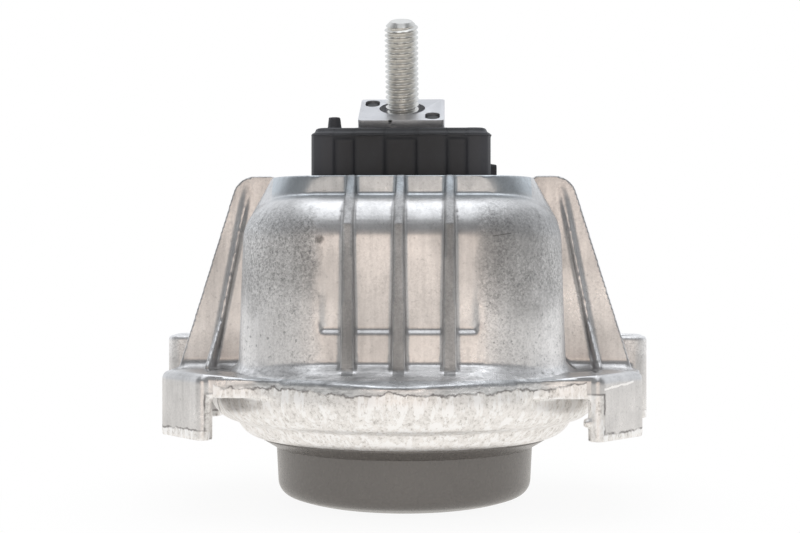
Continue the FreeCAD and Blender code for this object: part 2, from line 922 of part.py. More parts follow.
def diaphragm():
    """Rolling rubber bellows with a thick bead under the lower track plate."""
    bead_out = rim_inner - seat_gap
    out_r = fold_centre + fold_radius
    in_r = fold_centre - fold_radius
    wall = bellows_wall
    diagonal = math.sqrt(0.5)
    rise = crown_z - fold_z - crown_corner
    crown_mid = (in_r - crown_corner * (1 - diagonal), fold_z + rise + crown_corner * diagonal)
    thick = crown_corner + wall
    top_mid = (in_r - crown_corner + thick * diagonal, fold_z + rise + thick * diagonal)
    edges = [
        line((out_r - wall, fold_z), (out_r - wall, track_low_z)),
        line((out_r - wall, track_low_z), (bead_out, track_low_z)),
        line((bead_out, track_low_z), (bead_out, bead_low_z)),
        line((bead_out, bead_low_z), (out_r, bead_low_z)),
        line((out_r, bead_low_z), (out_r, fold_z)),
        arc((out_r, fold_z), (fold_centre, fold_z - fold_radius), (in_r, fold_z)),
        line((in_r, fold_z), (in_r, fold_z + rise)),
        arc((in_r, fold_z + rise), crown_mid, (in_r - crown_corner, crown_z)),
        line((in_r - crown_corner, crown_z), (0, crown_z)),
        line((0, crown_z), (0, crown_z + wall)),
        line((0, crown_z + wall), (in_r - crown_corner, crown_z + wall)),
        arc((in_r - crown_corner, crown_z + wall), top_mid, (in_r + wall, fold_z + rise)),
        line((in_r + wall, fold_z + rise), (in_r + wall, fold_z)),
        arc(
            (in_r + wall, fold_z),
            (fold_centre, fold_z - fold_radius + wall),
            (out_r - wall, fold_z),
        ),
    ]
    return turn_edges(edges)


def diaphragm_ring():
    """Steel insert that backs the bead, seated where the cup's flare ends."""
    outer = rim_inner - seat_gap
    inner = fold_centre + fold_radius + 3 * seat_gap
    low = cup_rim_z + cup_wall + seat_gap
    return turn(
        [
            (inner, low),
            (outer, low),
            (outer, bead_low_z),
            (inner, bead_low_z),
        ]
    )


# --------------------------------------------------------------------------- bottom cup
def bottom_cup():
    """Deep-drawn cup: dished bottom, round corner, drafted wall, flare and upright rim."""
    t = cup_wall
    low = cup_radius - cup_draft
    disc = cup_radius - cup_disc_margin
    dish = cup_radius - cup_dish_margin
    dish_in = (dish - 0.4 * t, cup_dish_rise + t)
    dish_mid = bulge((disc, 0), (dish, cup_dish_rise), 0.03)
    dish_mid_in = bulge((disc, t), dish_in, 0.03)
    corner_mid_out = (low - 1.0, cup_dish_rise + 1.5)
    corner_mid_in = (low - 1.0 - 0.7 * t, cup_dish_rise + 1.5 + 0.75 * t)
    edges = [
        line((0, 0), (disc, 0)),
        arc((disc, 0), dish_mid, (dish, cup_dish_rise)),
        arc((dish, cup_dish_rise), corner_mid_out, (low, cup_corner_rise)),
        line((low, cup_corner_rise), (cup_radius, cup_flare_z)),
        line((cup_radius, cup_flare_z), (rim_outer, cup_rim_z)),
        line((rim_outer, cup_rim_z), (rim_outer, track_low_z)),
        line((rim_outer, track_low_z), (rim_inner, track_low_z)),
        line((rim_inner, track_low_z), (rim_inner, cup_rim_z + t)),
        line((rim_inner, cup_rim_z + t), (cup_radius - t, cup_flare_z + t)),
        line((cup_radius - t, cup_flare_z + t), (low - t, cup_corner_rise)),
        arc((low - t, cup_corner_rise), corner_mid_in, dish_in),
        arc(dish_in, dish_mid_in, (disc, t)),
        line((disc, t), (0, t)),
        line((0, t), (0, 0)),
    ]
    return turn_edges(edges)


PIECES = {
    "housing": housing,
    "core": core,
    "stud": stud,
    "stop_buffer": stop_buffer,
    "main_spring": main_spring,
    "spring_ring": spring_ring,
    "inertia_track_upper": lambda: track_plate(track_mid_z, ring_low_z, 1),
    "inertia_track_lower": lambda: track_plate(track_low_z, track_mid_z, -1),
    "decoupler": decoupler,
    "diaphragm": diaphragm,
    "diaphragm_ring": diaphragm_ring,
    "bottom_cup": bottom_cup,
}


def build():
    os.makedirs("parts", exist_ok=True)
    for name, make in PIECES.items():
        shape = make()
        solids = shape.Solids
        good = shape.isValid() and len(solids) == 1
        print(name, "ok" if good else "CHECK", len(solids), round(shape.Volume))
        solids[0].exportStep("parts/" + name + ".step")


build()
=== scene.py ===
import json
import math

import bmesh
import bpy
from bpy.props import FloatProperty, FloatVectorProperty, IntProperty, PointerProperty
from mathutils import Matrix, Vector


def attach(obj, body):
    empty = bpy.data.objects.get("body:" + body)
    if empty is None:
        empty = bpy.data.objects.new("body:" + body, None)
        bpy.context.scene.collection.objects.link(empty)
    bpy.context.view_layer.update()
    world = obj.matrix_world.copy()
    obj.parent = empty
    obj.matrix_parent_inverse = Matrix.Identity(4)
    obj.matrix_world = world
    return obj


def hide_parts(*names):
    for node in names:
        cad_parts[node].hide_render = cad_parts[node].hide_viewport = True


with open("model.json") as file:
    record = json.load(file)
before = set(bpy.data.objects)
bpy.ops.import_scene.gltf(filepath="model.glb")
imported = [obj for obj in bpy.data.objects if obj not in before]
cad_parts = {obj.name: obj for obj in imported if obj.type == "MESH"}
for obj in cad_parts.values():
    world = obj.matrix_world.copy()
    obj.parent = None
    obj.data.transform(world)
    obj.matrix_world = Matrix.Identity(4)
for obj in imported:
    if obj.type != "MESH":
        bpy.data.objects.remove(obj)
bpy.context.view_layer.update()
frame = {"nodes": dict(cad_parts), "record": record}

bl_info = {
    "name": "Hydraulic Engine Mount",
    "version": (1, 0, 0),
    "blender": (4, 5, 0),
    "location": "3D View > Sidebar > Engine Mount",
    "description": "Finishes the die-cast housing, rubber, stud and cup of an engine mount",
    "category": "Object",
}

MM = 0.001
MOUNTS = {m["name"]: m for m in frame["record"]["mounts"]}
PAD_POINT = Vector(MOUNTS["pad_face"]["pos_m"])
STUD_AXIS = Vector(MOUNTS["stud_thread"]["axis"]).normalized()
STUD_MIDDLE = Vector(MOUNTS["stud_thread"]["pos_m"])
STUD_RADIUS = MOUNTS["stud_thread"]["dims"]["r_mm"] * MM
STUD_PLAIN = MOUNTS["stud_thread"]["dims"]["length_mm"] * MM

# the upright borders of the barrel's sunk facets: where they are, how wide and how high
FACET_HALF = 20 * MM
FACET_BLEND = 2.4 * MM
FACET_DEPTH = 38 * MM
FACET_LOW = 53.2 * MM
FACET_HIGH = 84 * MM
FACET_PASSES = 40

# triangles of the housing: where thinning starts, and what it leaves
MOST_TRIANGLES = 190000
KEPT_TRIANGLES = 185000

# the flash along the front of the flange, as an arc about the mount's axis
FLASH_RADIUS = 56.35 * MM
FLASH_Z = 35.8 * MM
FLASH_START = 228
FLASH_SWEEP = 84
FLASH_STEPS = 120

# The stud stands on the point of its axis nearest to PAD_POINT. Its thread starts a
# little below that point, ends a little beyond the plain length, and has rubbed crests.
THREAD_START = -1.8 * MM
THREAD_BEYOND = 1.6 * MM
THREAD_CHAMFER = 1.7 * MM
CREST_LOSS = 0.22 * MM
SHANK_SIDES = 48
SHANK = (  # radius and height of the plain shank's outline, in millimetres
    (0, -17.0), (4.25, -17.0), (5.2, -16.0), (5.2, -3.3),
    (4.5, -3.2), (4.5, -1.9), (4.0, -1.4), (0, -1.4),
)

# borders between areas of the casting's skin
PLATE_TOP = 39 * MM
FOOT_START = 46 * MM
WEB_START = 36 * MM
SPOT_START = 54 * MM
SPOT_END = 63 * MM

COOL_WHITE = (0.93, 0.96, 1.0)
OVERHEAD = {
    "spot": (0, -0.12, 0.9), "aim": (0, -0.12, 0),
    "width": 0.6, "height": 0.95, "power": 2.25, "colour": COOL_WHITE,
}
FRONT_CARD = {
    "spot": (0, -1.5, 0.19), "aim": (0, 0, 0.12),
    "width": 0.9, "height": 0.38, "power": 1.42, "colour": (1.0, 0.80, 0.66),
}


# ------------------------------------------------------------------ sizes and colours
def colour_property(name, description, default):
    return FloatVectorProperty(
        name=name, description=description, default=default,
        subtype="COLOR", size=3, min=0, max=1,
    )


def length_property(name, description, default, low, high):
    return FloatProperty(
        name=name, description=description, default=default,
        min=low, max=high, unit="LENGTH", precision=5,
    )


def passes_property(description, default):
    return IntProperty(
        name="Rounding", description=description, default=default, min=0, max=20
    )


class CastingLooks(bpy.types.PropertyGroup):
    metal: colour_property("Metal", "Colour of the raw casting", (0.64, 0.632, 0.628))
    speck: colour_property(
        "Specks", "Colour of the dark specks in the casting skin", (0.25, 0.25, 0.255)
    )
    skin_step: length_property(
        "Skin Step", "Grid width that rounds the casting's edges", 0.5 * MM, 0.3 * MM, 3 * MM
    )
    rounding: passes_property("Passes that soften edges and corners", 2)
    flash_height: length_property(
        "Flash Height", "How far the trimmed flash stands proud", 0.3 * MM, 0, 2 * MM
    )


class RubberLooks(bpy.types.PropertyGroup):
    tone: colour_property("Rubber", "Colour of the moulded rubber", (0.022, 0.022, 0.025))
    edge: length_property(
        "Edge", "Grid width that rounds the buffer's moulded edges",
        0.45 * MM, 0.2 * MM, 2 * MM,
    )
    rounding: passes_property("Passes that soften the moulded edges", 5)
    parting: length_property(
        "Parting", "How far the parting seam lies below the pad face", 5.4 * MM, 0, 30 * MM
    )
    seam: length_property("Seam", "Thickness of the parting seam", 0.22 * MM, 0, 1 * MM)


class StudLooks(bpy.types.PropertyGroup):
    pitch: length_property(
        "Pitch", "Distance from one thread turn to the next", 1.5 * MM, 0.5 * MM, 4 * MM
    )
    depth: length_property("Depth", "Depth of the thread groove", 0.86 * MM, 0, 2 * MM)
    zinc: colour_property("Zinc", "Colour of the zinc plating", (0.74, 0.73, 0.70))


class CupLooks(bpy.types.PropertyGroup):
    coat: colour_property("Coat", "Colour of the cup's coating", (0.124, 0.112, 0.102))


class StageLooks(bpy.types.PropertyGroup):
    lens: FloatProperty(
        name="Lens", description="Focal length of the camera", default=65.3,
        min=10, max=300, unit="CAMERA",
    )
    distance: length_property(
        "Distance", "From the camera to the mount's axis", 0.428, 0.1, 5
    )
    eye: length_property(
        "Eye Height", "Height of the level camera over the floor", 0.0686, 0, 2
    )
    aside: length_property(
        "Aside", "How far the camera stands to the left of the axis", 0.0013, -0.1, 0.1
    )
    turn: FloatProperty(
        name="Turn", description="Angle round the mount to the camera",
        default=math.radians(2.0), subtype="ANGLE",
    )


class EngineMountLooks(bpy.types.PropertyGroup):
    casting: PointerProperty(type=CastingLooks)
    rubber: PointerProperty(type=RubberLooks)
    stud: PointerProperty(type=StudLooks)
    cup: PointerProperty(type=CupLooks)
    stage: PointerProperty(type=StageLooks)


# ------------------------------------------------------------------------ node helpers
class Wire:
    """A node's output: [name] is another output of its node, each sign a Math node."""

    def __init__(self, socket):
        self.socket = socket
        self.tree = socket.id_data

    def __getitem__(self, key):
        return Wire(self.socket.node.outputs[key])

    def __add__(self, other):
        return maths("ADD", self, other)

    def __radd__(self, other):
        return maths("ADD", other, self)

    def __sub__(self, other):
        return maths("SUBTRACT", self, other)

    def __rsub__(self, other):
        return maths("SUBTRACT", other, self)

    def __mul__(self, other):
        return maths("MULTIPLY", self, other)

    def __truediv__(self, other):
        return maths("DIVIDE", self, other)

    def __gt__(self, other):
        return maths("GREATER_THAN", self, other)

    def __lt__(self, other):
        return maths("LESS_THAN", self, other)

    def __abs__(self):
        return maths("ABSOLUTE", self)


def plug(inputs, values):
    """Give a node's inputs their values, or wire other nodes' outputs to them."""
    for key, value in values.items():
        if isinstance(value, Wire):
            value.tree.links.new(value.socket, inputs[key])
        else:
            inputs[key].default_value = value


def add(tree, kind, inputs=None, **settings):
    """One node with its settings and inputs, as a wire from its first output."""
    node = tree.nodes.new(kind)
    for key, value in settings.items():
        setattr(node, key, value)
    plug(node.inputs, inputs or {})
    return Wire(node.outputs[0])


def maths(operation, a, b=0.0, clamp=False):
    tree = a.tree if isinstance(a, Wire) else b.tree
    return add(tree, "ShaderNodeMath", {0: a, 1: b}, operation=operation, use_clamp=clamp)


def split_xyz(vector):
    parts = add(vector.tree, "ShaderNodeSeparateXYZ", {0: vector})
    return parts[0], parts[1], parts[2]


def stretch(vector, factors):
    """Coordinates scaled along each axis, which draws a noise out along the small ones."""
    values = {0: vector, 1: factors}
    return add(vector.tree, "ShaderNodeVectorMath", values, operation="MULTIPLY")


def remap(value, low, high, to=(0.0, 1.0), smooth=False):
    """A value moved from one range to another and held inside it."""
    values = {
        "Value": value, "From Min": low, "From Max": high, "To Min": to[0], "To Max": to[1],
    }
    kind = "SMOOTHSTEP" if smooth else "LINEAR"
    return add(value.tree, "ShaderNodeMapRange", values, interpolation_type=kind)


def ramp(value, stops):
    """Colour ramp from (position, grey or colour) stops."""
    result = add(value.tree, "ShaderNodeValToRGB", {0: value})
    elements = result.socket.node.color_ramp.elements
    while len(elements) < len(stops):
        elements.new(0.5)
    for element, (position, tone) in zip(elements, stops):
        element.position = position
        colour = tone if isinstance(tone, tuple) else (tone, tone, tone)
        element.color = (*colour, 1)
    return result


def shade(colour, factor, lift=0.0):
    return tuple(min(1, c * factor + lift) for c in colour)


def mix(share, a, b, blend="MIX"):
    """One colour over another, by a share that is a wire."""
    a, b = (c if isinstance(c, Wire) else (*c, 1) for c in (a, b))
    values = {0: share, 6: a, 7: b}
    return add(share.tree, "ShaderNodeMix", values, data_type="RGBA", blend_type=blend)[2]


def noise(where, scale, detail=4.0, roughness=0.55, distortion=0.0):
    values = {
        "Vector": where, "Scale": scale, "Detail": detail,
        "Roughness": roughness, "Distortion": distortion,
    }
    return add(where.tree, "ShaderNodeTexNoise", values)["Fac"]


VECTOR = "NodeSocketVector"
GEOMETRY = "NodeSocketGeometry"
MATERIAL = "NodeSocketMaterial"


def node_group(name, inputs, kind="ShaderNodeTree"):
    """Turn a function that wires a group into one that builds it once and returns it.

    Inputs are given by name, as a default number or a socket type. The function takes a
    wire from the group's input node and returns the group's outputs by name.
    """
    numbers = {float: "NodeSocketFloat", int: "NodeSocketInt"}
    result = GEOMETRY if kind == "GeometryNodeTree" else "NodeSocketFloat"

    def wrap(wire_up):
        def built():
            if name in bpy.data.node_groups:
                return bpy.data.node_groups[name]
            tree = bpy.data.node_groups.new(name, kind)
            for label, given in inputs.items():
                socket = tree.interface.new_socket(
                    name=label, in_out="INPUT", socket_type=numbers.get(type(given), given)
                )
                if type(given) in numbers:
                    socket.default_value = given
            outputs = wire_up(Wire(tree.nodes.new("NodeGroupInput").outputs[0]))
            for label in outputs:
                tree.interface.new_socket(name=label, in_out="OUTPUT", socket_type=result)
            plug(tree.nodes.new("NodeGroupOutput").inputs, outputs)
            return tree

        return built

    return wrap


def place(group, where, values=None):
    """A shared effect in a material, with its own values."""
    node = where.tree.nodes.new("ShaderNodeGroup")
    node.node_tree = group
    plug(node.inputs, {"Vector": where, **(values or {})})
    return Wire(node.outputs[0])


# -------------------------------------------------------------------- shared effects
@node_group("Cast Skin", {
    "Vector": VECTOR, "Crackle Scale": 1400.0, "Crackle Amount": 1.3,
    "Cloud Amount": 0.55, "Speck Amount": 0.6, "Flow Amount": 0.25,
})
def cast_skin(group):
    """Die-cast skin: dark clouds, a fine crackle, specks and upright flow marks."""
    where = group["Vector"]
    cloud = noise(where, 46.0, 3.0, 0.5, 0.2) - 0.5
    crackle = noise(where, group["Crackle Scale"], 4.0, 0.75, 0.6) - 0.5
    patches = ramp(noise(where, 48.0, 3.0, 0.5), [(0.36, 0.35), (0.64, 1.0)])
    crackle = crackle * patches * group["Crackle Amount"]
    flow = noise(stretch(where, (1.0, 1.0, 0.10)), 560.0, 4.0, 0.6) - 0.5
    tone = 0.5 + cloud * group["Cloud Amount"] + crackle + flow * group["Flow Amount"]

    spots = ramp(noise(where, 900.0, 2.0, 0.5), [(0.26, 1.0), (0.36, 0.0)])
    pits = ramp(noise(where, 360.0, 4.0, 0.7), [(0.27, 1.0), (0.36, 0.0)])
    specks = maths("MAXIMUM", spots, pits) * group["Speck Amount"]
    height = crackle * 0.45 - specks * 0.3 + flow * 0.2
    return {"Tone": tone, "Specks": specks, "Height": height}


@node_group("Rib Face", {
    "Vector": VECTOR, "Spacing": 13.4 * MM, "Half Width": 1.5 * MM,
    "Foot": 40 * MM, "Depth": 20 * MM,
})
def rib_face(group):
    """Mask of the outer faces of the upright ribs, where the skin was dragged darker."""
    x, y, z = split_xyz(group["Vector"])
    nearest = maths("ROUND", x / group["Spacing"])
    nearest = maths("MINIMUM", maths("MAXIMUM", nearest, -1.0), 1.0)
    on_rib = abs(x - nearest * group["Spacing"]) < group["Half Width"]
    outside = abs(y) > group["Depth"]
    above = z > group["Foot"]
    return {"Mask": on_rib * outside * above}


@node_group("Skin Zones And Painted Light", {
    "Vector": VECTOR, "Inner X": 19.5 * MM, "Inner Y": 9 * MM, "Top": 81 * MM,
})
def skin_zones_and_painted_light(group):
    """Areas of the skin: dull and crackled on the barrel's sides, smooth elsewhere. Also
    painted shade high on the barrel's sides, painted floor light low on them, and a painted
    cool reflection on the collar and flange edge.
    """
    x, y, z = split_xyz(group["Vector"])
    sway = noise(group["Vector"], 110.0, 4.0, 0.6) - 0.5

    def between(source, low, high, shift):
        return remap(source + sway * shift, low, high, smooth=True)

    across = abs(x)
    outer = between(across, group["Inner X"], group["Inner X"] + 4 * MM, 7 * MM)
    front = between(abs(y), group["Inner Y"], group["Inner Y"] + 4 * MM, 2 * MM)
    below_dome = 1.0 - between(z, group["Top"], group["Top"] + 6 * MM, 10 * MM)
    above_plate = between(z, PLATE_TOP, 44 * MM, 4 * MM)
    mask = outer * front * below_dome * above_plate
    tall = between(z, 50 * MM, 66 * MM, 22 * MM)
    foot = (across > FOOT_START) * (z < PLATE_TOP)
    collar = between(z, 86 * MM, 90 * MM, 2 * MM) * (across < WEB_START)
    flange_edge = (z < PLATE_TOP) * (across < FOOT_START) * 0.35
    flat = 1.0 - between(z, 41 * MM, 44 * MM, 3 * MM)
    inside = 1.0 - between(across, 43 * MM, 50 * MM, 4 * MM)
    return {
        # painted shade: a darker tone high on the barrel's sides
        "Mask": mask,
        "Dark": mask * tall,
        "Foot": foot,
        # painted reflection: a cool bluish tint on the collar and the flange edge
        "Cool": maths("MAXIMUM", collar, flange_edge),
        # painted light: a lighter tone low on the barrel's sides, where the floor's light falls
        "Low": mask * (1.0 - tall),
        "Flange": flat * inside,
    }


@node_group("Blemishes", {
    "Vector": VECTOR, "Smudge X": -20.9 * MM, "Smudge Z": 75.7 * MM,
    "Scratch X": 27.1 * MM, "Scratch Z": 77.0 * MM, "Front Y": -20 * MM, "Size": 1.2 * MM,
})
def blemishes(group):
    """A dark smudge and a fine slanting scratch, both on the front."""
    x, y, z = split_xyz(group["Vector"])
    sway = noise(group["Vector"], 700.0, 4.0, 0.7) - 0.5
    half_length = 2.4 * MM
    half_width = 0.13 * MM

    def away(source, centre, size):
        gap = (source - centre) / size
        return gap * gap

    facing = y < group["Front Y"]
    blot = away(x, group["Smudge X"], group["Size"]) + away(z, group["Smudge Z"], group["Size"])
    blot = remap(blot + sway * 2.4, 1.3, 0.2)
    slant = (x - group["Scratch X"]) * 0.16
    line = abs(z - slant - group["Scratch Z"]) < half_width
    reach = away(x, group["Scratch X"], half_length) < 1.0
    return {"Smudge": blot * facing, "Scratch": line * reach * facing}


@node_group("Edge Wear And Highlight", {"Vector": VECTOR, "Low": 0.52, "High": 0.58, "Amount": 0.7})
def edge_wear_and_highlight(group):
    """Mask of rubbed outer edges and of painted highlights along them, broken up by noise."""
    pointed = add(group.tree, "ShaderNodeNewGeometry")["Pointiness"]
    edges = remap(pointed, group["Low"], group["High"])
    broken = ramp(noise(group["Vector"], 300.0, 4.0), [(0.3, 0.35), (0.6, 1.0)])
    mask = maths("MULTIPLY", edges, broken, clamp=True)
    return {"Mask": maths("MULTIPLY", mask, group["Amount"], clamp=True)}


@node_group("Dust", {"Vector": VECTOR, "Scale": 90.0, "Amount": 0.3})
def dust(group):
    """Faint lint and smudges for dark surfaces."""
    where = group["Vector"]
    smudge = ramp(noise(where, group["Scale"], 6.0, 0.65), [(0.42, 0), (0.75, 1)])
    lint = ramp(noise(where, 2200.0, 2.0, 0.5), [(0.66, 0), (0.74, 1)])
    both = maths("ADD", smudge * 0.7, lint, clamp=True)
    return {
        "Mask": maths("MULTIPLY", both, group["Amount"], clamp=True),
        "Height": noise(where, 2600.0, 3.0, 0.6),
    }


@node_group("Trim Cut", {
    "Vector": VECTOR, "Flange Line": 36.0 * MM, "Foot Line": 24.7 * MM,
    "Near Corner X": 50.0 * MM, "Flange Top": 38.4 * MM,
})
def trim_cut(group):
    """Where flash was sheared off: below a ragged line on the flange and round the feet, with a
    painted shadow along the trim step.
    """
    where = group["Vector"]
    x, y, z = split_xyz(where)
    across = abs(x)
    slow = noise(where, 70.0, 2.0, 0.5) - 0.5
    quick = noise(where, 330.0, 3.0, 0.6) - 0.5
    ragged = slow * (5.0 * MM) + quick * (3.0 * MM)

    # over the flange, rising towards the feet
    rise = remap(across, 36 * MM, 50 * MM, (0.0, 1.5 * MM))
    flange_gap = group["Flange Line"] + rise + ragged - z

    # round the feet: along the bottom and beside the near corner, wider on the right
    bottom_gap = group["Foot Line"] + ragged * 0.55 - z
    border = maths("SIGN", x) * (1.3 * MM) + 2.8 * MM + quick * (0.8 * MM)
    corner_gap = group["Near Corner X"] + border - across
    below_plate = group["Flange Top"] - 3.5 * MM - z
    corner_gap = maths("MINIMUM", corner_gap, below_plate)
    foot_gap = maths("MAXIMUM", bottom_gap, corner_gap)
    on_foot = across > group["Near Corner X"] - 0.6 * MM

    gaps = {0: on_foot, 2: flange_gap, 3: foot_gap}
    gap = add(group.tree, "ShaderNodeMix", gaps, data_type="FLOAT")
    mask = remap(gap, -0.08 * MM, 0.08 * MM)
    # painted shadow: a dark line along the trim step, broken into patches
    near = 1.0 - maths("DIVIDE", abs(gap), 0.42 * MM, clamp=True)
    patchy_shadow = ramp(noise(where, 210.0, 3.0, 0.6), [(0.36, 0.1), (0.50, 1.0)])

    # one bright sheared spot across the right foot
    spot_z = remap(x, SPOT_START, SPOT_END, (36.3 * MM, 37.5 * MM)) + quick * (1.5 * MM)
    shear = (abs(z - spot_z) < 0.28 * MM) * (x > SPOT_START) * (x < SPOT_END)
    shear = shear * (y < -30 * MM)
    return {"Mask": mask, "Line": near * patchy_shadow, "Step": 1.0 - mask, "Shear": shear}


# -------------------------------------------------------------------------- materials
def new_material(name):
    """An empty material with its shader, and its object coordinates as a wire."""
    material = bpy.data.materials.new(name)
    material.use_nodes = True
    tree = material.node_tree
    tree.nodes.clear()
    out = tree.nodes.new("ShaderNodeOutputMaterial")
    shader = tree.nodes.new("ShaderNodeBsdfPrincipled")
    tree.links.new(shader.outputs[0], out.inputs[0])
    where = add(tree, "ShaderNodeTexCoord")["Object"]
    return material, shader, where


def set_bump(shader, height, strength, distance):
    values = {"Height": height, "Strength": strength, "Distance": distance}
    plug(shader.inputs, {"Normal": add(height.tree, "ShaderNodeBump", values)})


def raw_casting(looks):
    """Raw die-cast aluminium, with brighter, rougher metal where flash was cut off."""
    material, shader, where = new_material("Raw Cast Aluminium")
    zone = place(skin_zones_and_painted_light(), where)
    dull = zone["Mask"]
    skin = place(cast_skin(), where, {
        "Crackle Amount": 0.55 + dull * 1.1, "Speck Amount": 0.26 + dull * 0.4,
    })
    marks = place(blemishes(), where)
    wear_and_highlight = place(edge_wear_and_highlight(), where, {"Amount": 0.3})
    trim = place(trim_cut(), where)
    ribs = place(rib_face(), where)["Mask"]

    # the skin as cast: its tone is darkened and brightened by area, with painted shade high on
    # the barrel's sides and painted floor light low on them
    lines = noise(stretch(where, (0.16, 0.5, 1.0)), 900.0, 4.0, 0.7) - 0.5
    # painted shade darkens the barrel's sides high up
    tone = skin["Tone"] - ribs * 0.2 - zone["Dark"] * 0.14 + zone["Foot"] * 0.04
    # painted light lightens the barrel's sides low down
    tone = tone + zone["Low"] * 0.15 + lines * zone["Flange"] * 1.3
    metal = tuple(looks.metal)
    clean = ramp(tone, [(0.18, shade(metal, 0.45)), (0.50, metal), (0.82, shade(metal, 1.45))])
    # painted reflection: the collar and the flange edge tinted cool blue
    skin_with_painted_light = mix(zone["Cool"], clean, (0.88, 0.95, 1.0), "MULTIPLY")
    skin_with_painted_light = mix(skin["Specks"], skin_with_painted_light, tuple(looks.speck))
    skin_with_painted_light = mix(marks["Smudge"] * 0.75, skin_with_painted_light, (0.10, 0.10, 0.10))
    skin_with_painted_light = mix(marks["Scratch"], skin_with_painted_light, (0.22, 0.21, 0.21))
    # rubbed edges with a painted highlight along them
    skin_with_painted_light = mix(wear_and_highlight["Mask"], skin_with_painted_light, (0.86, 0.86, 0.87))

    # the cut metal, streaked upright, below the trim line
    smear = noise(stretch(where, (1.0, 1.0, 0.28)), 480.0, 5.0, 0.7)
    cut = ramp(noise(where, 950.0, 5.0, 0.75), [
        (0.36, (0.56, 0.54, 0.52)), (0.44, (0.80, 0.785, 0.765)), (0.58, (0.94, 0.925, 0.91)),
    ])
    cut = mix(ramp(smear, [(0.50, 0.0), (0.56, 1.0)]), cut, (1.0, 1.0, 1.0))
    colour = mix(trim["Mask"], skin_with_painted_light, cut)
    # painted shadow along the trim step
    colour = mix(trim["Line"] * 0.9, colour, (0.13, 0.12, 0.12))
    colour = mix(trim["Shear"], colour, (0.96, 0.95, 0.94))
    rough = ramp(tone, [(0.25, 0.38), (0.75, 0.24)]) + dull * 0.10 + ribs * 0.18
    rough = rough + trim["Mask"] * 0.12
    plug(shader.inputs, {"Base Color": colour, "Roughness": rough, "Metallic": 0.86})
    height = skin["Height"] + trim["Step"] + smear * trim["Mask"] * 0.5
    set_bump(shader, height, 0.5, 0.3 * MM)
    return material


def machined_pad():
    """Smooth satin aluminium of the core, with a few nicks and a fleck of rubber."""
    material, shader, where = new_material("Satin Core Aluminium")
    skin = place(cast_skin(), where, {
        "Crackle Amount": 0.25, "Cloud Amount": 0.7, "Speck Amount": 0.3, "Flow Amount": 0.1,
    })
    wear_and_highlight = place(edge_wear_and_highlight(), where, {"Amount": 0.4})
    fleck = place(blemishes(), where, {
        "Smudge X": -3.4 * MM, "Smudge Z": PAD_POINT.z - 1.2 * MM,
        "Front Y": -16 * MM, "Size": 0.6 * MM,
    })
    colour = ramp(skin["Tone"], [(0.3, (0.50, 0.50, 0.515)), (0.7, (0.66, 0.66, 0.675))])
    colour = mix(skin["Specks"], colour, (0.4, 0.4, 0.42))
    # rubbed edges with a painted highlight along them
    colour = mix(wear_and_highlight["Mask"], colour, (0.85, 0.85, 0.87))
    colour = mix(fleck["Smudge"], colour, (0.03, 0.03, 0.03))
    rough = ramp(skin["Tone"], [(0.3, 0.42), (0.8, 0.30)])
    plug(shader.inputs, {"Base Color": colour, "Roughness": rough, "Metallic": 0.9})
    dents = ramp(noise(where, 420.0, 3.0, 0.6), [(0.28, 0.0), (0.38, 1.0)])
    set_bump(shader, skin["Height"] + dents, 0.3, 0.2 * MM)
    return material


def zinc_plate(looks):
    """Bright zinc plating of the stud."""
    material, shader, where = new_material("Zinc Plated Steel")
    haze = noise(where, 260.0, 5.0, 0.6)
    zinc = tuple(looks.zinc)
    wear_and_highlight = place(edge_wear_and_highlight(), where, {"Amount": 0.5})
    colour = ramp(haze, [(0.3, shade(zinc, 0.86)), (0.7, zinc)])
    # rubbed edges with a painted highlight along them
    colour = mix(wear_and_highlight["Mask"], colour, (0.85, 0.85, 0.84))
    rough = ramp(haze, [(0.3, 0.36), (0.7, 0.26)])
    plug(shader.inputs, {"Base Color": colour, "Roughness": rough, "Metallic": 1.0})
    set_bump(shader, noise(where, 1800.0, 3.0), 0.12, 0.1 * MM)
    return material


def rubber(name, tone, lint=0.25, gloss=0.52):
    """Black moulded rubber with a faint bloom, and a painted sheen that makes it darker in the
    middle and paler towards its sides.
    """
    material, shader, where = new_material(name)
    film = place(dust(), where, {"Amount": lint})
    half_width = 25 * MM
    across = abs(split_xyz(where)[0]) / half_width
    # painted sheen: darker in the middle, paler towards the sides
    painted_side_sheen = ramp(across, [(0.30, shade(tone, 0.75)), (0.62, tone), (0.95, shade(tone, 2.1))])
    colour = mix(film["Mask"], painted_side_sheen, shade(tone, 2.4, 0.02))
    rough = ramp(film["Mask"], [(0.0, gloss), (0.5, min(1, gloss + 0.2))])
    plug(shader.inputs, {"Base Color": colour, "Roughness": rough, "IOR": 1.5})
    set_bump(shader, film["Height"], 0.18, 0.1 * MM)
    return material


def coated_steel(looks):
    """Dark satin coating of the pressed cup."""
    material, shader, where = new_material("Coated Steel")
    film = place(dust(), where, {"Scale": 45.0, "Amount": 0.12})
    coat = tuple(looks.coat)
    colour = mix(film["Mask"], coat, shade(coat, 1.5))
    peel = noise(where, 520.0, 2.0, 0.5)
    rough = ramp(peel, [(0.3, 0.24), (0.7, 0.30)])
    plug(shader.inputs, {"Base Color": colour, "Roughness": rough, "IOR": 1.8})
    set_bump(shader, peel, 0.04, 0.2 * MM)
    return material


def hazy(name, scale, tones, roughs, metallic, bump):
    """Plain finish of an inner piece, between two tones and two roughnesses."""
    material, shader, where = new_material(name)
    haze = noise(where, scale)
    colour = ramp(haze, list(zip((0.3, 0.7), tones)))
    rough = ramp(haze, list(zip((0.3, 0.7), roughs)))
    plug(shader.inputs, {"Base Color": colour, "Roughness": rough, "Metallic": metallic})
    set_bump(shader, haze, bump, 0.1 * MM)
    return material


# ------------------------------------------------------------------------ mesh helpers
def give(obj, material):
    obj.data.materials.clear()
    obj.data.materials.append(material)


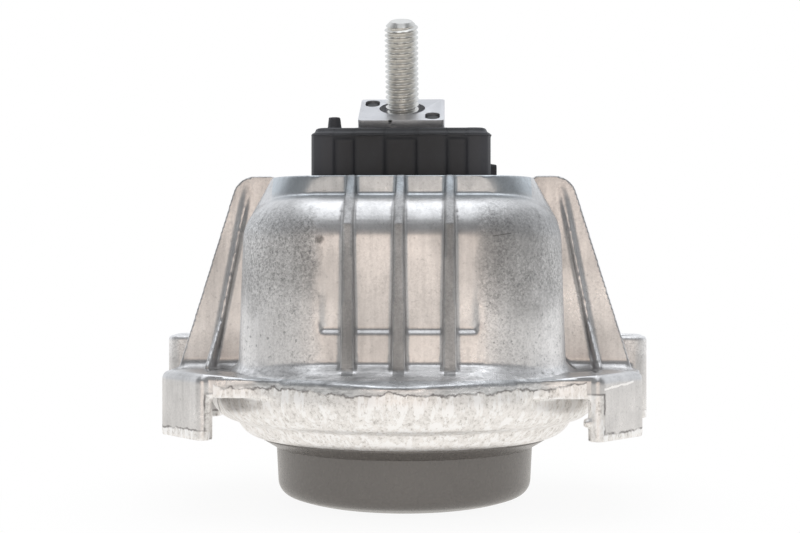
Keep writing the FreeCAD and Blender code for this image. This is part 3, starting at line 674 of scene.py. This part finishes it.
def new_object(name, data):
    obj = bpy.data.objects.new(name, data)
    bpy.context.scene.collection.objects.link(obj)
    return obj


def piece_of_edges(name, points, edges):
    mesh = bpy.data.meshes.new(name)
    mesh.from_pydata(points, edges, [])
    return new_object(name, mesh)


def merged_copy(node, name):
    """Copy of a CAD node with its loose triangles joined."""
    mesh = frame["nodes"][node].data.copy()
    mesh.name = name
    if mesh.has_custom_normals:
        mesh.attributes.remove(mesh.attributes["custom_normal"])
    work = bmesh.new()
    work.from_mesh(mesh)
    bmesh.ops.remove_doubles(work, verts=work.verts, dist=1e-6)
    for part in (*work.edges, *work.faces):
        part.smooth = True
    work.to_mesh(mesh)
    work.free()
    return new_object(name, mesh)


def settle(obj):
    """Replace an object's mesh by what its modifiers give, and drop the modifiers."""
    bpy.context.view_layer.update()
    graph = bpy.context.evaluated_depsgraph_get()
    mesh = bpy.data.meshes.new_from_object(obj.evaluated_get(graph))
    old = obj.data
    obj.modifiers.clear()
    obj.data = mesh
    mesh.name = obj.name
    bpy.data.meshes.remove(old)


def smoothing(obj, name, passes):
    smooth = obj.modifiers.new(name, "SMOOTH")
    smooth.factor = 0.5
    smooth.iterations = passes
    return smooth


def moulded_skin(obj, step, passes):
    """One closed skin on an even grid, with its edges and corners rounded."""
    remesh = obj.modifiers.new("Skin", "REMESH")
    remesh.mode = "VOXEL"
    remesh.voxel_size = step
    smoothing(obj, "Rounding", passes)
    settle(obj)


def blend_facet(housing):
    """Let the upright borders of the barrel's sunk facets run out softly."""
    border = housing.vertex_groups.new(name="facet_border")
    near = [
        v.index
        for v in housing.data.vertices
        if abs(abs(v.co.x) - FACET_HALF) < FACET_BLEND
        and abs(v.co.y) > FACET_DEPTH
        and FACET_LOW < v.co.z < FACET_HIGH
    ]
    border.add(near, 1.0, "REPLACE")
    smoothing(housing, "Blend", FACET_PASSES).vertex_group = border.name
    settle(housing)
    housing.vertex_groups.clear()


def thin_out(obj):
    """Fewer triangles, where there are more than MOST_TRIANGLES."""
    triangles = sum(len(p.vertices) - 2 for p in obj.data.polygons)
    if triangles > MOST_TRIANGLES:
        obj.modifiers.new("Thin", "DECIMATE").ratio = KEPT_TRIANGLES / triangles
        settle(obj)


def section_loop(obj, name, height):
    """The outline of an object at one height, as a new object of edges."""
    work = bmesh.new()
    work.from_mesh(obj.data)
    cut = bmesh.ops.bisect_plane(
        work,
        geom=work.verts[:] + work.edges[:] + work.faces[:],
        plane_co=(0, 0, height),
        plane_no=(0, 0, 1),
    )["geom_cut"]
    edges = [e for e in cut if isinstance(e, bmesh.types.BMEdge)]
    ring = [(tuple(e.verts[0].co), tuple(e.verts[1].co)) for e in edges]
    work.free()
    places = {}
    for ends in ring:
        for end in ends:
            places.setdefault(end, len(places))
    return piece_of_edges(name, list(places), [(places[a], places[b]) for a, b in ring])


def soften(obj, width, segments, angle):
    """Rounded edges where two faces meet at more than the given angle in degrees."""
    work = bmesh.new()
    work.from_mesh(obj.data)
    flat = math.radians(1.0)
    bmesh.ops.dissolve_limit(
        work, angle_limit=flat, verts=work.verts, edges=work.edges, delimit={"NORMAL"}
    )
    work.to_mesh(obj.data)
    work.free()
    bevel = obj.modifiers.new("Edges", "BEVEL")
    bevel.width = width
    bevel.segments = segments
    bevel.limit_method = "ANGLE"
    bevel.angle_limit = math.radians(angle)
    bevel.harden_normals = True
    bevel.use_clamp_overlap = True
    settle(obj)


def lathe(work, profile, around):
    """Closed solid of revolution added to a bmesh, from (radius, z) points in millimetres."""
    rings = []
    for r, z in profile:
        turns = [2 * math.pi * i / around for i in range(around if r else 1)]
        rings.append([
            work.verts.new((r * MM * math.cos(a), r * MM * math.sin(a), z * MM)) for a in turns
        ])
    for low, high in zip(rings, rings[1:]):
        for i in range(around):
            j = (i + 1) % around
            if len(low) == 1:
                work.faces.new((low[0], high[j], high[i]))
            elif len(high) == 1:
                work.faces.new((low[i], low[j], high[0]))
            else:
                work.faces.new((low[i], low[j], high[j], high[i]))


def run_tree(obj, tree, values):
    """Put a Geometry Nodes tree on an object, set its inputs, and keep the plain mesh."""
    modifier = obj.modifiers.new(tree.name, "NODES")
    modifier.node_group = tree
    names = {i.name: i.identifier for i in tree.interface.items_tree if i.in_out == "INPUT"}
    for key, value in values.items():
        modifier[names[key]] = value
    settle(obj)


# ---------------------------------------------------------------- Geometry Nodes trees
def finished(geometry, material):
    """The last two nodes of each tree: real geometry, and its material."""
    tree = geometry.tree
    real = add(tree, "GeometryNodeRealizeInstances", {"Geometry": geometry})
    return add(tree, "GeometryNodeSetMaterial", {"Geometry": real, "Material": material})


@node_group("Flash Ribbon", {
    "Path": GEOMETRY, "Step": 0.7 * MM, "Radius": 0.3 * MM, "Waviness": 0.4 * MM,
    "Noise Scale": 300.0, "Seed": 1.0, "Material": MATERIAL,
}, "GeometryNodeTree")
def flash_ribbon(group):
    """Uneven ribbon along an edge: flash that was trimmed by hand or a moulding seam."""
    tree = group.tree
    position = add(tree, "GeometryNodeInputPosition")

    def wobble(scale, detail):
        values = {"Vector": position, "Scale": scale, "Detail": detail, "W": group["Seed"]}
        return add(tree, "ShaderNodeTexNoise", values, noise_dimensions="4D")

    curve = add(tree, "GeometryNodeMeshToCurve", {"Mesh": group["Path"]})
    values = {"Curve": curve, "Length": group["Step"]}
    curve = add(tree, "GeometryNodeResampleCurve", values, mode="LENGTH")
    sway = wobble(group["Noise Scale"], 3.0)["Color"]
    values = {0: sway, 1: (0.5, 0.5, 0.5)}
    sway = add(tree, "ShaderNodeVectorMath", values, operation="SUBTRACT")
    values = {0: sway, "Scale": group["Waviness"]}
    sway = add(tree, "ShaderNodeVectorMath", values, operation="SCALE")
    curve = add(tree, "GeometryNodeSetPosition", {"Geometry": curve, "Offset": sway})
    size = (wobble(260.0, 2.0)["Fac"] * 1.6 + 0.1) * group["Radius"]
    section = add(tree, "GeometryNodeCurvePrimitiveCircle", {"Resolution": 6, "Radius": 1.0})
    swept = {"Curve": curve, "Profile Curve": section, "Scale": size, "Fill Caps": True}
    ribbon = add(tree, "GeometryNodeCurveToMesh", swept)
    return {"Mesh": finished(ribbon, group["Material"])}


@node_group("Thread Turns", {
    "Geometry": GEOMETRY, "Radius": 5 * MM, "Depth": 0.9 * MM, "Pitch": 1.5 * MM,
    "Length": 23 * MM, "Chamfer": 1.6 * MM, "Rings": 230, "Around": 65, "Material": MATERIAL,
}, "GeometryNodeTree")
def thread_turns(group):
    """Right-hand thread as one skin: a grid rolled round the axis, its radius a helix wave."""
    tree = group.tree
    grid = add(tree, "GeometryNodeMeshGrid", {
        "Size X": 1.0, "Size Y": 1.0,
        "Vertices X": group["Rings"], "Vertices Y": group["Around"],
    })
    x, y, _ = split_xyz(add(tree, "GeometryNodeInputPosition"))
    around = y + 0.5
    height = (x + 0.5) * group["Length"]

    # a wave of 0 at the roots and 1 at the crests, both flat, that fades in over one turn
    plenty = 40.0  # whole turns, so that the phase is never taken of a negative number
    root_flat, steepness, plain_level = 0.16, 1.35, 0.42
    phase = maths("FRACT", height / group["Pitch"] - around + plenty)
    wave = abs(phase * 2.0 - 1.0)
    wave = maths("MULTIPLY", wave - root_flat, steepness, clamp=True)
    begun = maths("DIVIDE", height, group["Pitch"], clamp=True)
    wave = wave * begun + (1.0 - begun) * plain_level
    radius = group["Radius"] - group["Depth"] + wave * group["Depth"]
    cone = group["Radius"] - (height - (group["Length"] - group["Chamfer"]))
    radius = maths("MINIMUM", radius, cone)

    angle = around * (2 * math.pi)
    rolled = add(tree, "ShaderNodeCombineXYZ", {
        0: radius * maths("COSINE", angle), 1: radius * maths("SINE", angle), 2: height,
    })
    skin = add(tree, "GeometryNodeSetPosition", {"Geometry": grid, "Position": rolled})
    closed = {"Geometry": skin, "Distance": 1e-6}
    skin = add(tree, "GeometryNodeMergeByDistance", closed)
    return {"Mesh": finished(skin, group["Material"])}


# ---------------------------------------------------------------------------- operators
class MOUNT_OT_casting(bpy.types.Operator):
    """Give the housing its rounded casting skin and raw aluminium finish"""

    bl_idname = "engine_mount.casting"
    bl_label = "Cast Housing"

    def execute(self, context):
        looks = context.scene.engine_mount.casting
        housing = merged_copy("housing", "cast_housing")
        moulded_skin(housing, looks.skin_step, looks.rounding)
        blend_facet(housing)
        thin_out(housing)
        housing.data.shade_smooth()
        give(housing, raw_casting(looks))
        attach(housing, "root")
        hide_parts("housing")
        return {"FINISHED"}


class MOUNT_OT_casting_flash(bpy.types.Operator):
    """Add the trimmed flash along the front of the flange"""

    bl_idname = "engine_mount.casting_flash"
    bl_label = "Casting Flash"

    def execute(self, context):
        looks = context.scene.engine_mount.casting
        rim = []
        for i in range(FLASH_STEPS + 1):
            angle = math.radians(FLASH_START + FLASH_SWEEP * i / FLASH_STEPS)
            x, y = FLASH_RADIUS * math.cos(angle), FLASH_RADIUS * math.sin(angle)
            rim.append((x, y, FLASH_Z))
        edges = [(i, i + 1) for i in range(FLASH_STEPS)]
        flange = piece_of_edges("flange_flash", rim, edges)
        run_tree(flange, flash_ribbon(), {
            "Radius": looks.flash_height, "Waviness": 0.6 * MM, "Seed": 3.0,
            "Material": bpy.data.materials["Raw Cast Aluminium"],
        })
        flange.data.shade_smooth()
        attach(flange, "root")
        return {"FINISHED"}


class MOUNT_OT_stud(bpy.types.Operator):
    """Build the stud with its thread turns, plain shank and pressed root"""

    bl_idname = "engine_mount.stud"
    bl_label = "Threaded Stud"

    def execute(self, context):
        looks = context.scene.engine_mount.stud
        centre = STUD_MIDDLE - STUD_AXIS * (STUD_MIDDLE - PAD_POINT).dot(STUD_AXIS)
        tip = (STUD_MIDDLE - centre).length + STUD_PLAIN / 2 + THREAD_BEYOND
        carrier = new_object("threaded_stud", bpy.data.meshes.new("threaded_stud"))
        run_tree(carrier, thread_turns(), {
            "Radius": STUD_RADIUS - CREST_LOSS, "Depth": looks.depth, "Pitch": looks.pitch,
            "Length": tip - THREAD_START, "Chamfer": THREAD_CHAMFER,
            "Material": zinc_plate(looks),
        })
        work = bmesh.new()
        work.from_mesh(carrier.data)
        bmesh.ops.translate(work, verts=work.verts, vec=(0, 0, THREAD_START))
        bmesh.ops.holes_fill(work, edges=[e for e in work.edges if e.is_boundary])
        lathe(work, SHANK, SHANK_SIDES)
        bmesh.ops.recalc_face_normals(work, faces=work.faces)
        lean = STUD_AXIS.to_track_quat("Z", "Y").to_matrix().to_4x4()
        bmesh.ops.transform(work, matrix=Matrix.Translation(centre) @ lean, verts=work.verts)
        work.to_mesh(carrier.data)
        work.free()
        carrier.data.shade_smooth()
        carrier.data.set_sharp_from_angle(angle=math.radians(40))
        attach(carrier, "root")
        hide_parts("stud")
        return {"FINISHED"}


class MOUNT_OT_core(bpy.types.Operator):
    """Round the edges of the aluminium core and give its pad a satin finish"""

    bl_idname = "engine_mount.core"
    bl_label = "Core and Pad"

    def execute(self, context):
        core = merged_copy("core", "satin_core")
        soften(core, width=0.35 * MM, segments=3, angle=30)
        give(core, machined_pad())
        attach(core, "root")
        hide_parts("core")
        return {"FINISHED"}


class MOUNT_OT_buffer(bpy.types.Operator):
    """Finish the stop buffer: moulded edges, parting seam and rubber"""

    bl_idname = "engine_mount.buffer"
    bl_label = "Stop Buffer"

    def execute(self, context):
        looks = context.scene.engine_mount.rubber
        material = rubber("Buffer Rubber", tuple(looks.tone))
        block = merged_copy("stop_buffer", "moulded_buffer")
        seam = section_loop(block, "buffer_seam", PAD_POINT.z - looks.parting)
        moulded_skin(block, looks.edge, looks.rounding)
        block.data.shade_smooth()
        give(block, material)
        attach(block, "root")
        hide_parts("stop_buffer")
        run_tree(seam, flash_ribbon(), {
            "Radius": looks.seam, "Waviness": 1.5 * MM, "Noise Scale": 90.0, "Seed": 5.0,
            "Material": material,
        })
        seam.data.shade_smooth()
        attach(seam, "root")
        return {"FINISHED"}


class MOUNT_OT_cup(bpy.types.Operator):
    """Coat the pressed bottom cup"""

    bl_idname = "engine_mount.cup"
    bl_label = "Bottom Cup"

    def execute(self, context):
        cup = frame["nodes"]["bottom_cup"]
        give(cup, coated_steel(context.scene.engine_mount.cup))
        return {"FINISHED"}


class MOUNT_OT_inner_parts(bpy.types.Operator):
    """Give the spring, rings, track plates and rubber discs inside their materials"""

    bl_idname = "engine_mount.inner_parts"
    bl_label = "Inner Parts"

    def execute(self, context):
        nodes = frame["nodes"]
        tone = tuple(context.scene.engine_mount.rubber.tone)
        spring = rubber("Spring Rubber", tone, lint=0.15, gloss=0.6)
        steel = hazy(
            "Plain Steel", scale=300.0, tones=((0.36, 0.36, 0.37), (0.5, 0.5, 0.51)),
            roughs=(0.42, 0.3), metallic=1.0, bump=0.1,
        )
        plastic = hazy(
            "Track Plastic", scale=800.0, tones=((0.06, 0.06, 0.062), (0.09, 0.09, 0.092)),
            roughs=(0.5, 0.6), metallic=0.0, bump=0.15,
        )
        for name in ("main_spring", "decoupler", "diaphragm"):
            give(nodes[name], spring)
            nodes[name]
        for name in ("spring_ring", "diaphragm_ring"):
            give(nodes[name], steel)
            nodes[name]
        for name in ("inertia_track_upper", "inertia_track_lower"):
            give(nodes[name], plastic)
            nodes[name]
        return {"FINISHED"}


class MOUNT_OT_stage(bpy.types.Operator):
    """Set the pale floor, the soft lights, the white surroundings and the camera"""

    bl_idname = "engine_mount.stage"
    bl_label = "Stage"

    def execute(self, context):
        looks = context.scene.engine_mount.stage
        context.scene.view_settings.view_transform = "Standard"
        pale_floor()
        white_surroundings(context.scene)
        softbox("overhead_softbox", **OVERHEAD)
        softbox("front_card", **FRONT_CARD)

        camera = bpy.data.cameras.new("camera")
        camera.sensor_width = 36
        camera.lens = looks.lens
        camera.clip_start = 0.01
        obj = new_object("camera", camera)
        spot = Vector((-looks.aside, -looks.distance, looks.eye))
        obj.location = Matrix.Rotation(looks.turn, 3, "Z") @ spot
        obj.rotation_euler = (math.pi / 2, 0, looks.turn)
        context.scene.camera = obj
        return {"FINISHED"}


# -------------------------------------------------------------------------------- stage
def softbox(name, spot, aim, width, height, power, colour):
    light = bpy.data.lights.new(name, "AREA")
    light.shape = "RECTANGLE"
    light.size = width
    light.size_y = height
    light.energy = power
    light.color = colour
    obj = new_object(name, light)
    obj.location = spot
    obj.rotation_euler = (Vector(aim) - Vector(spot)).to_track_quat("-Z", "Y").to_euler()


def pale_floor():
    """Pale floor that is white to the camera, apart from the shadow near the mount."""
    mesh = bpy.data.meshes.new("floor")
    half = 6.0  # metres
    corners = [(-half, -half, 0), (half, -half, 0), (half, half, 0), (-half, half, 0)]
    mesh.from_pydata(corners, [], [(0, 1, 2, 3)])
    floor = new_object("floor", mesh)
    material = bpy.data.materials.new("Pale Floor")
    material.use_nodes = True
    tree = material.node_tree
    shader = tree.nodes["Principled BSDF"]
    plug(shader.inputs, {
        "Base Color": (0.90, 0.885, 0.86, 1), "Roughness": 0.9, "Specular IOR Level": 0.0,
    })
    where = add(tree, "ShaderNodeTexCoord")["Object"]
    shade_end, white_from = 0.055, 0.12  # metres from the mount's axis
    far = add(tree, "ShaderNodeVectorMath", {0: where}, operation="LENGTH")["Value"]
    fade = remap(far, shade_end, white_from, (0.92, 1.0), smooth=True)
    rays = add(tree, "ShaderNodeLightPath")
    mirrored = maths("MAXIMUM", rays["Is Glossy Ray"], rays["Is Transmission Ray"])
    share = maths("MAXIMUM", rays["Is Camera Ray"] * fade, mirrored)
    tint = mix(rays["Is Camera Ray"], (1.0, 0.97, 0.93), (1, 1, 1))
    glow = add(tree, "ShaderNodeEmission", {"Color": tint, "Strength": 1.0})
    blend = {0: share, 1: Wire(shader.outputs[0]), 2: glow}
    seen = add(tree, "ShaderNodeMixShader", blend)
    plug(tree.nodes["Material Output"].inputs, {"Surface": seen})
    give(floor, material)


def white_surroundings(scene):
    """White to the camera; in reflections white behind the mount and dimmer in front."""
    world = bpy.data.worlds.new("White Surroundings")
    scene.world = world
    world.use_nodes = True
    tree = world.node_tree
    tree.nodes.clear()
    rays = add(tree, "ShaderNodeLightPath")
    glossy = rays["Is Glossy Ray"]
    seen = maths("MAXIMUM", rays["Is Camera Ray"], rays["Is Transmission Ray"])
    y = split_xyz(add(tree, "ShaderNodeTexCoord")["Generated"])[1]
    mirrored = remap(y, -0.45, 0.45, (0.22, 1.0), smooth=True)
    level = glossy * mirrored + (1.0 - glossy) * 0.8
    light = add(tree, "ShaderNodeBackground", {"Color": (*COOL_WHITE, 1), "Strength": level})
    plain = add(tree, "ShaderNodeBackground", {"Color": (1, 1, 1, 1), "Strength": 1.0})
    blend = add(tree, "ShaderNodeMixShader", {0: seen, 1: light, 2: plain})
    plug(tree.nodes.new("ShaderNodeOutputWorld").inputs, {"Surface": blend})


# -------------------------------------------------------------------------------- panel
class MOUNT_PT_panel(bpy.types.Panel):
    """Operators and sizes of the engine mount"""

    bl_idname = "MOUNT_PT_panel"
    bl_label = "Engine Mount"
    bl_space_type = "VIEW_3D"
    bl_region_type = "UI"
    bl_category = "Engine Mount"

    def draw(self, context):
        looks = context.scene.engine_mount
        for group in (looks.casting, looks.rubber, looks.stud, looks.cup, looks.stage):
            box = self.layout.box()
            for name in type(group).__annotations__:
                box.prop(group, name)
        for operator in STEPS:
            self.layout.operator(operator)


OPERATORS = (
    MOUNT_OT_casting,
    MOUNT_OT_casting_flash,
    MOUNT_OT_stud,
    MOUNT_OT_core,
    MOUNT_OT_buffer,
    MOUNT_OT_cup,
    MOUNT_OT_inner_parts,
    MOUNT_OT_stage,
)

STEPS = tuple(operator.bl_idname for operator in OPERATORS)

CLASSES = (
    CastingLooks,
    RubberLooks,
    StudLooks,
    CupLooks,
    StageLooks,
    EngineMountLooks,
    *OPERATORS,
    MOUNT_PT_panel,
)


def register():
    for cls in CLASSES:
        bpy.utils.register_class(cls)
    bpy.types.Scene.engine_mount = PointerProperty(type=EngineMountLooks)


def unregister():
    del bpy.types.Scene.engine_mount
    for cls in reversed(CLASSES):
        bpy.utils.unregister_class(cls)


def main():
    register()
    for step in STEPS:
        group, name = step.split(".")
        getattr(getattr(bpy.ops, group), name)()


if __name__ == "__main__":
    main()
